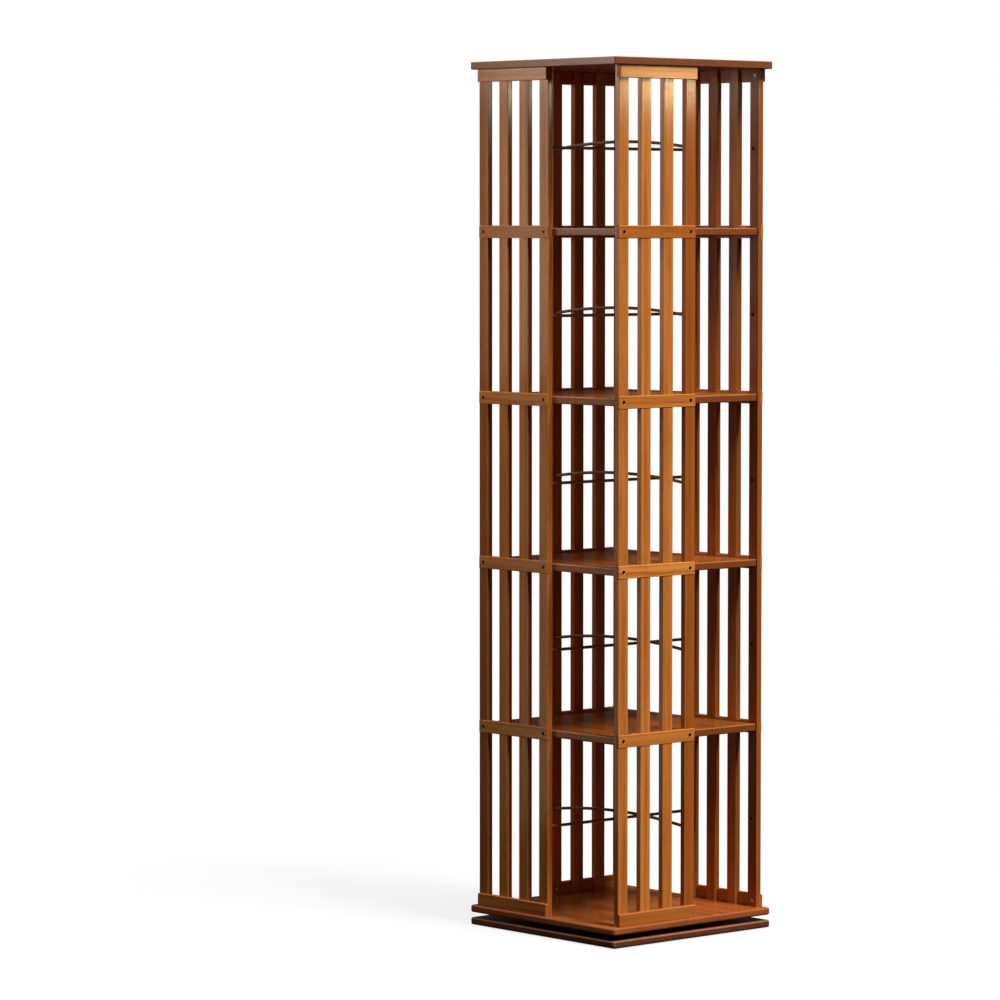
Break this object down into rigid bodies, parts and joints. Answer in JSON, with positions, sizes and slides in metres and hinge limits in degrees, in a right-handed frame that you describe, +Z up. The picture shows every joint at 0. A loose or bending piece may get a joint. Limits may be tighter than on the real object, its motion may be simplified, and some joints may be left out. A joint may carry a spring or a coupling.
{
  "type": "revolving bookcase",
  "caption": "Tall square bookcase of open tiers that turns freely on a low base, with slatted panels set pinwheel fashion so that each face has an open bay for books.",
  "frame": {"origin": "on the floor under the middle of the base board, on the turning axis", "axes": "+Z up along the turning axis, -Y towards the front face, +X towards the right face"},
  "size_m": [0.34, 0.34, 1.3805],
  "materials": {
    "slat_wood": "stained brown under glossy clear lacquer, fine straight grain",
    "rail_wood": "stained brown under glossy clear lacquer, fine straight grain",
    "shelf_wood": "stained brown under glossy clear lacquer, fine straight grain",
    "top_wood": "stained brown under glossy clear lacquer, fine straight grain",
    "base_wood": "stained brown under glossy clear lacquer, fine straight grain",
    "rod_wood": "very dark brown, satin",
    "dark_screw": "blackened steel",
    "bright_screw": "zinc plated",
    "bearing_aluminium": "anodised dark",
    "bearing_steel": "polished balls",
    "cage_plastic": "moulded strip",
    "foot_pad": "matt felt, self-adhesive"
  },
  "bodies": {
    "base": {"base_board": "base_wood", "base_feet": "foot_pad", "bearing_outer_ring": "bearing_aluminium", "bearing_base_screws": "bright_screw"},
    "ball_cage": {"bearing_balls": "bearing_steel", "bearing_cage": "cage_plastic"},
    "tower": {"bearing_inner_ring": "bearing_aluminium", "bearing_shelf_screws": "bright_screw", "bottom_shelf": "shelf_wood", "top_board": "top_wood", "straight_rods": "rod_wood", "bowed_rods": "rod_wood", "rail_screws": "dark_screw", "back_screws": "bright_screw", "board_screws": "dark_screw", "shelf_1": "shelf_wood", "shelf_2": "shelf_wood", "shelf_3": "shelf_wood", "shelf_4": "shelf_wood", "front_slat_1": "slat_wood", "front_slat_2": "slat_wood", "front_slat_3": "slat_wood", "front_slat_4": "slat_wood", "right_slat_1": "slat_wood", "right_slat_2": "slat_wood", "right_slat_3": "slat_wood", "right_slat_4": "slat_wood", "back_slat_1": "slat_wood", "back_slat_2": "slat_wood", "back_slat_3": "slat_wood", "back_slat_4": "slat_wood", "left_slat_1": "slat_wood", "left_slat_2": "slat_wood", "left_slat_3": "slat_wood", "left_slat_4": "slat_wood", "front_rail_1": "rail_wood", "front_rail_2": "rail_wood", "front_rail_3": "rail_wood", "front_rail_4": "rail_wood", "right_rail_1": "rail_wood", "right_rail_2": "rail_wood", "right_rail_3": "rail_wood", "right_rail_4": "rail_wood", "back_rail_1": "rail_wood", "back_rail_2": "rail_wood", "back_rail_3": "rail_wood", "back_rail_4": "rail_wood", "left_rail_1": "rail_wood", "left_rail_2": "rail_wood", "left_rail_3": "rail_wood", "left_rail_4": "rail_wood", "front_bottom_rail": "rail_wood", "front_top_rail": "rail_wood", "right_bottom_rail": "rail_wood", "right_top_rail": "rail_wood", "back_bottom_rail": "rail_wood", "back_top_rail": "rail_wood", "left_bottom_rail": "rail_wood", "left_top_rail": "rail_wood"}
  },
  "joints": [
    {"name": "tower_turn", "type": "hinge", "parent": "base", "child": "tower", "pos_m": [0, 0, 0.0175], "axis": [0, 0, 1], "continuous": true},
    {"name": "ball_roll", "type": "hinge", "parent": "base", "child": "ball_cage", "pos_m": [0, 0, 0.0175], "axis": [0, 0, 1], "continuous": true}
  ],
  "couplings": [
    {"joint": "ball_roll", "follows": "tower_turn", "ratio": 0.4925}
  ]
}
